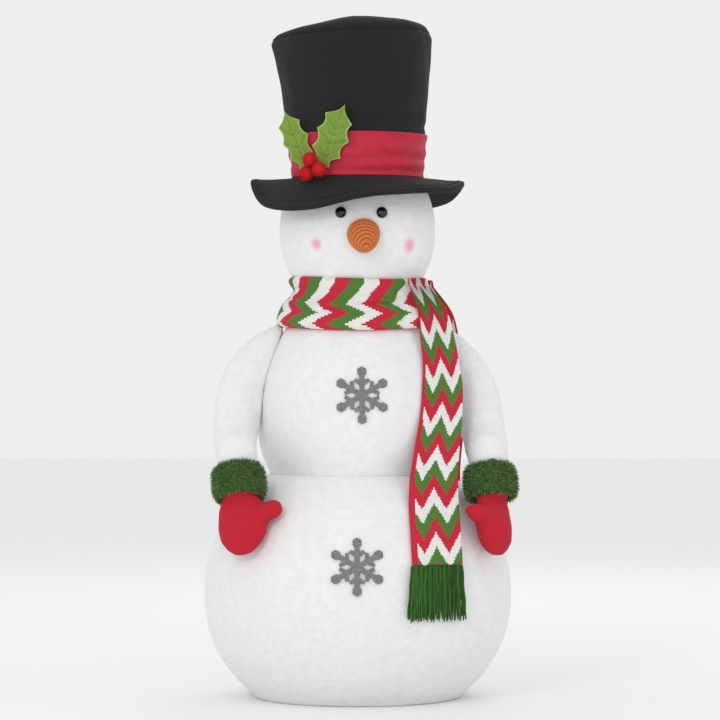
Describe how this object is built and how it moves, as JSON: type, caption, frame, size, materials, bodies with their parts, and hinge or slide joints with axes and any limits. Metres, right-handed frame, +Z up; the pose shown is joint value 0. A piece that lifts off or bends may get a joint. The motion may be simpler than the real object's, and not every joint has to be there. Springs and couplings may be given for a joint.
{
  "type": "inflatable yard snowman",
  "caption": "Fleece-covered inflatable snowman with a top hat, knitted scarf, mittened arms, and a fan in the low back that fills it.",
  "frame": {"origin": "centre of the flat base, on the ground", "axes": "+Z up; the face looks along -Y; +X is at the right of someone who stands in front and looks at it"},
  "size_m": [0.4858, 0.5108, 1.0663],
  "materials": {
    "fleece": "short soft pile, white",
    "nylon": "plain woven, coated",
    "black_felt": "brushed cloth, black",
    "red_satin": "smooth woven, crimson",
    "green_felt": "felt with stitched veins",
    "red_pompom": "cut yarn",
    "eye_plastic": "polished black",
    "nose_felt": "wrapped brushed yarn, orange",
    "grey_felt": "mottled felt",
    "scarf_knit": "knitted chevrons in red, green and white",
    "green_yarn": "loose yarn",
    "green_fur": "long pile",
    "red_mitten": "fine fleece, red",
    "black_plastic": "moulded, fine texture",
    "grey_plastic": "moulded",
    "foam_rubber": "closed-cell foam",
    "steel": "nickel plated",
    "webbing": "woven strap",
    "zip_tape": "woven tape",
    "lens": "clear, smooth",
    "sand_bag": "woven bag of sand"
  },
  "bodies": {
    "shell": {"belly_cover": "fleece", "chest_cover": "fleece", "head_cover": "fleece", "base_panel": "nylon", "port_panel": "nylon", "waist_baffle": "nylon", "hat_baffle": "nylon", "hat_crown": "black_felt", "hat_top": "black_felt", "hat_brim": "black_felt", "brim_hem": "black_felt", "hat_band": "red_satin", "holly_leaf_left": "green_felt", "holly_leaf_right": "green_felt", "berry_1": "red_pompom", "berry_2": "red_pompom", "berry_3": "red_pompom", "eye_left": "eye_plastic", "eye_right": "eye_plastic", "eye_washer_left": "black_plastic", "eye_washer_right": "black_plastic", "carrot_nose": "nose_felt", "snowflake_chest": "grey_felt", "snowflake_belly": "grey_felt", "scarf_wrap": "scarf_knit", "clamp_nut": "black_plastic", "blower_housing": "black_plastic", "intake_grille": "black_plastic", "power_inlet": "black_plastic", "motor_spider": "black_plastic", "port_gasket": "foam_rubber", "fan_motor": "steel", "lamp_holder_low": "grey_plastic", "lamp_holder_high": "grey_plastic", "lamp_lens_low": "lens", "lamp_lens_high": "lens", "lamp_lead_lower": "webbing", "lamp_lead_upper": "webbing", "centre_strap": "webbing", "ballast_bag_left": "sand_bag", "ballast_bag_right": "sand_bag", "zip_tape": "zip_tape", "tether_tab_left": "webbing", "tether_tab_right": "webbing"},
    "arm_left": {"arm_sleeve_left": "fleece", "cuff_left": "green_fur", "mitten_left": "red_mitten"},
    "arm_right": {"arm_sleeve_right": "fleece", "cuff_right": "green_fur", "mitten_right": "red_mitten"},
    "scarf_front": {"scarf_tail_front": "scarf_knit", "scarf_fringe_front": "green_yarn"},
    "scarf_back": {"scarf_tail_back": "scarf_knit", "scarf_fringe_back": "green_yarn"},
    "fan": {"impeller": "grey_plastic", "motor_shaft": "steel"},
    "slider": {"zip_slider": "steel"},
    "pull": {"zip_pull": "steel"},
    "ring_left": {"tether_ring_left": "steel"},
    "ring_right": {"tether_ring_right": "steel"}
  },
  "joints": [
    {"name": "arm_left_lift", "type": "hinge", "parent": "shell", "child": "arm_left", "pos_m": [-0.1178, 0, 0.572], "axis": [0, 1, 0], "range_deg": [0, 60]},
    {"name": "arm_right_lift", "type": "hinge", "parent": "shell", "child": "arm_right", "pos_m": [0.1178, 0, 0.572], "axis": [0, -1, 0], "range_deg": [0, 60]},
    {"name": "scarf_front_swing", "type": "hinge", "parent": "shell", "child": "scarf_front", "pos_m": [0.0945, -0.089, 0.6425], "axis": [-1, 0, 0], "range_deg": [0, 45]},
    {"name": "scarf_back_swing", "type": "hinge", "parent": "shell", "child": "scarf_back", "pos_m": [0.1065, 0.076, 0.6425], "axis": [1, 0, 0], "range_deg": [0, 45]},
    {"name": "fan_spin", "type": "hinge", "parent": "shell", "child": "fan", "pos_m": [0, 0.223, 0.15], "axis": [0, 1, 0], "continuous": true},
    {"name": "zip_slide", "type": "hinge", "parent": "shell", "child": "slider", "pos_m": [0, 0, 0.4255], "axis": [0, 0, -1], "range_deg": [0, 44]},
    {"name": "zip_pull_flip", "type": "hinge", "parent": "slider", "child": "pull", "pos_m": [-0.0617, 0.1528, 0.4255], "axis": [0.9272, 0.3746, 0], "range_deg": [0, 150]},
    {"name": "tether_ring_left_swing", "type": "hinge", "parent": "shell", "child": "ring_left", "pos_m": [-0.2306, 0.0839, 0.176], "axis": [0.342, 0.9397, 0], "range_deg": [0, 150]},
    {"name": "tether_ring_right_swing", "type": "hinge", "parent": "shell", "child": "ring_right", "pos_m": [0.2306, 0.0839, 0.176], "axis": [0.342, -0.9397, 0], "range_deg": [0, 150]}
  ]
}
